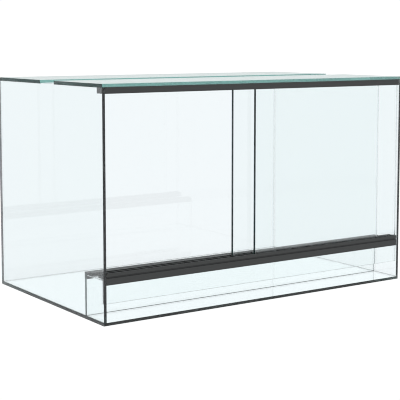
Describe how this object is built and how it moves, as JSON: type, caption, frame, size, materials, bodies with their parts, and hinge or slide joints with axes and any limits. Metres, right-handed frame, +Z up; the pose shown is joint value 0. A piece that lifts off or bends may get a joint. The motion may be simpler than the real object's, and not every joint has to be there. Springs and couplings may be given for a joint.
{
  "type": "reptile terrarium",
  "caption": "Glass terrarium with sliding front doors in plastic rails, an air slot under a hanging apron, a perforated vent sheet and an open vent gap in the top.",
  "frame": {"origin": "centre of the base plate's underside, on the surface the tank stands on", "axes": "+X to the tank's right as seen from the doors, +Y from the doors to the rear panel, +Z up"},
  "size_m": [0.5, 0.3, 0.3],
  "materials": {
    "glass": "clear float glass with ground edges that look dark green",
    "black_plastic": "satin extruded",
    "aluminium": "bright mill-finished sheet with round holes",
    "silicone": "clear, glossy, tooled to a hollow fillet"
  },
  "bodies": {
    "tank": {"base_plate": "glass", "left_panel": "glass", "right_panel": "glass", "rear_panel": "glass", "front_top_plate": "glass", "rear_top_plate": "glass", "front_apron": "glass", "inner_strip": "glass", "vent_sheet": "aluminium", "strip_clip": "black_plastic", "lower_rail": "black_plastic", "top_rail": "black_plastic", "left_base_seam": "silicone", "right_base_seam": "silicone", "rear_base_seam": "silicone", "left_rear_seam": "silicone", "right_rear_seam": "silicone", "front_top_seams": "silicone", "rear_top_seams": "silicone", "inner_strip_seams": "silicone", "apron_seams": "silicone", "sheet_seam": "silicone", "lower_rail_bond": "silicone", "top_rail_bond": "silicone"},
    "left_door": {"left_door": "glass"},
    "right_door": {"right_door": "glass"}
  },
  "joints": [
    {"name": "left_door_slide", "type": "slide", "parent": "tank", "child": "left_door", "axis": [1, 0, 0], "range_m": [-0.2, 0.0317]},
    {"name": "right_door_slide", "type": "slide", "parent": "tank", "child": "right_door", "axis": [1, 0, 0], "range_m": [-0.2317, 0]}
  ]
}
